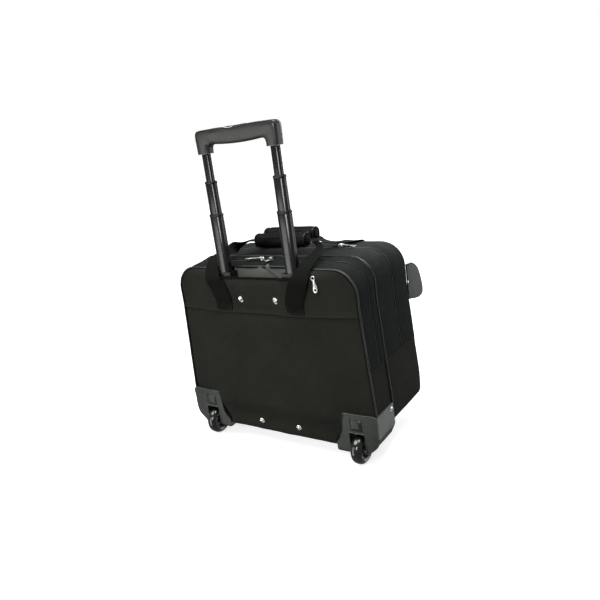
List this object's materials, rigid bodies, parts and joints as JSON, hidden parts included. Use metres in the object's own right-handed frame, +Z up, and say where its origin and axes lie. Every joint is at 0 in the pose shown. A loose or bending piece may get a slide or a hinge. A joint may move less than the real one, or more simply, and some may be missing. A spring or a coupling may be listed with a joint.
{
  "type": "rolling laptop case",
  "caption": "Soft-sided rolling laptop case with telescopic pull handle, corner wheels, zipped compartments and padded carry handles.",
  "frame": {"origin": "centre of the bounding box on the ground under the wheels and feet, handle as in the picture", "axes": "+Z up along the pull handle, -Y out of the front, +Y out of the back with the handle and wheels, +X to the right seen from the front"},
  "size_m": [0.429, 0.268, 0.6185],
  "materials": {
    "black_fabric": "dense matte polyester weave",
    "black_webbing": "ribbed webbing",
    "zip_tape": "woven tape with a moulded coil",
    "grey_lining": "smooth lining cloth",
    "grey_piping": "satin corded edge",
    "dark_plastic": "fine moulded grain",
    "gloss_black_tube": "gloss black",
    "aluminium_tube": "mill",
    "wheel_rubber": "satin, smooth rounded tread",
    "nickel_steel": "bright nickel plate"
  },
  "bodies": {
    "case": {"back_panel": "black_fabric", "back_band": "black_fabric", "pocket_lining": "grey_lining", "frame_sheet": "dark_plastic", "tube_base": "dark_plastic", "rear_gusset": "black_fabric", "laptop_gusset": "black_fabric", "rear_lower_gusset": "black_fabric", "main_gusset": "black_fabric", "laptop_zip": "zip_tape", "front_zip": "zip_tape", "divider": "grey_lining", "rear_piping": "grey_piping", "middle_piping": "grey_piping", "front_tub": "black_fabric", "base_board": "dark_plastic", "pole_bridge": "dark_plastic", "outer_tube_left": "aluminium_tube", "outer_tube_right": "aluminium_tube", "top_screw_left": "nickel_steel", "top_screw_right": "nickel_steel", "bottom_screw_left": "nickel_steel", "bottom_screw_right": "nickel_steel", "wheel_housing_left": "dark_plastic", "wheel_housing_right": "dark_plastic", "axle_left": "nickel_steel", "axle_right": "nickel_steel", "foot_left": "dark_plastic", "foot_right": "dark_plastic"},
    "wheel_left": {"wheel_tyre_left": "wheel_rubber", "wheel_hub_left": "dark_plastic"},
    "wheel_right": {"wheel_tyre_right": "wheel_rubber", "wheel_hub_right": "dark_plastic"},
    "lower_stage": {"lower_tube_left": "gloss_black_tube", "lower_tube_right": "gloss_black_tube", "lower_collar_left": "dark_plastic", "lower_collar_right": "dark_plastic"},
    "middle_stage": {"middle_tube_left": "gloss_black_tube", "middle_tube_right": "gloss_black_tube", "middle_collar_left": "dark_plastic", "middle_collar_right": "dark_plastic"},
    "upper_stage": {"upper_tube_left": "gloss_black_tube", "upper_tube_right": "gloss_black_tube", "grip": "dark_plastic"},
    "release_button": {"release_button": "dark_plastic"},
    "lid": {"front_lid": "black_fabric", "front_pocket": "black_fabric", "phone_pocket": "black_fabric"},
    "phone_flap": {"phone_flap": "grey_lining"},
    "rear_handle": {"rear_handle_strap": "black_webbing", "rear_handle_wrap": "black_webbing"},
    "front_handle": {"front_handle_strap": "black_webbing", "front_handle_wrap": "black_webbing"},
    "laptop_slider_left": {"laptop_slider_left": "nickel_steel"},
    "laptop_slider_right": {"laptop_slider_right": "nickel_steel"},
    "laptop_pull_left": {"laptop_pull_left": "nickel_steel"},
    "laptop_pull_right": {"laptop_pull_right": "nickel_steel"},
    "front_slider": {"front_slider": "nickel_steel"},
    "front_pull": {"front_pull": "nickel_steel"},
    "pole_pocket_pull": {"pole_pocket_pull": "nickel_steel"}
  },
  "joints": [
    {"name": "wheel_left_spin", "type": "hinge", "parent": "case", "child": "wheel_left", "pos_m": [-0.171, 0.106, 0.028], "axis": [1, 0, 0], "continuous": true},
    {"name": "wheel_right_spin", "type": "hinge", "parent": "case", "child": "wheel_right", "pos_m": [0.171, 0.106, 0.028], "axis": [1, 0, 0], "continuous": true},
    {"name": "lower_slide", "type": "slide", "parent": "case", "child": "lower_stage", "axis": [0, 0, 1], "range_m": [-0.104, 0.072]},
    {"name": "middle_slide", "type": "slide", "parent": "lower_stage", "child": "middle_stage", "axis": [0, 0, 1], "range_m": [-0.054, 0.138]},
    {"name": "upper_slide", "type": "slide", "parent": "middle_stage", "child": "upper_stage", "axis": [0, 0, 1], "range_m": [-0.0475, 0.144]},
    {"name": "button_press", "type": "slide", "parent": "upper_stage", "child": "release_button", "axis": [0, 0, -1], "range_m": [0, 0.004], "stiffness_N_per_m": 400, "springref_m": -0.002},
    {"name": "lid_hinge", "type": "hinge", "parent": "case", "child": "lid", "pos_m": [0, -0.087, 0.1815], "axis": [1, 0, 0], "range_deg": [0, 75]},
    {"name": "flap_hinge", "type": "hinge", "parent": "lid", "child": "phone_flap", "pos_m": [-0.1925, -0.101, 0.291], "axis": [0, 0, 1], "range_deg": [-27, 121]},
    {"name": "rear_handle_swing", "type": "hinge", "parent": "case", "child": "rear_handle", "pos_m": [0, 0.1265, 0.308], "axis": [1, 0, 0], "range_deg": [-25, 0]},
    {"name": "front_handle_swing", "type": "hinge", "parent": "lid", "child": "front_handle", "pos_m": [0, -0.0896, 0.309], "axis": [1, 0, 0], "range_deg": [0, 145]},
    {"name": "laptop_slider_left_slide", "type": "slide", "parent": "case", "child": "laptop_slider_left", "axis": [-1, 0, 0], "range_m": [0, 0.045]},
    {"name": "laptop_slider_right_slide", "type": "slide", "parent": "case", "child": "laptop_slider_right", "axis": [1, 0, 0], "range_m": [0, 0.045]},
    {"name": "laptop_pull_left_swing", "type": "hinge", "parent": "laptop_slider_left", "child": "laptop_pull_left", "pos_m": [-0.005, 0.0755, 0.37301], "axis": [0.9216, 0.3881, 0], "range_deg": [0, 130]},
    {"name": "laptop_pull_right_swing", "type": "hinge", "parent": "laptop_slider_right", "child": "laptop_pull_right", "pos_m": [0.016, 0.0745, 0.37301], "axis": [0, -1, 0], "range_deg": [0, 130]},
    {"name": "front_slider_slide", "type": "slide", "parent": "case", "child": "front_slider", "axis": [1, 0, 0], "range_m": [-0.03, 0]},
    {"name": "front_pull_swing", "type": "hinge", "parent": "front_slider", "child": "front_pull", "pos_m": [-0.102, -0.0195, 0.3758], "axis": [0, 1, 0], "range_deg": [0, 95]},
    {"name": "pole_pocket_pull_swing", "type": "hinge", "parent": "case", "child": "pole_pocket_pull", "pos_m": [-0.1245, 0.12379, 0.351], "axis": [1, 0, 0], "range_deg": [0, 78]}
  ]
}
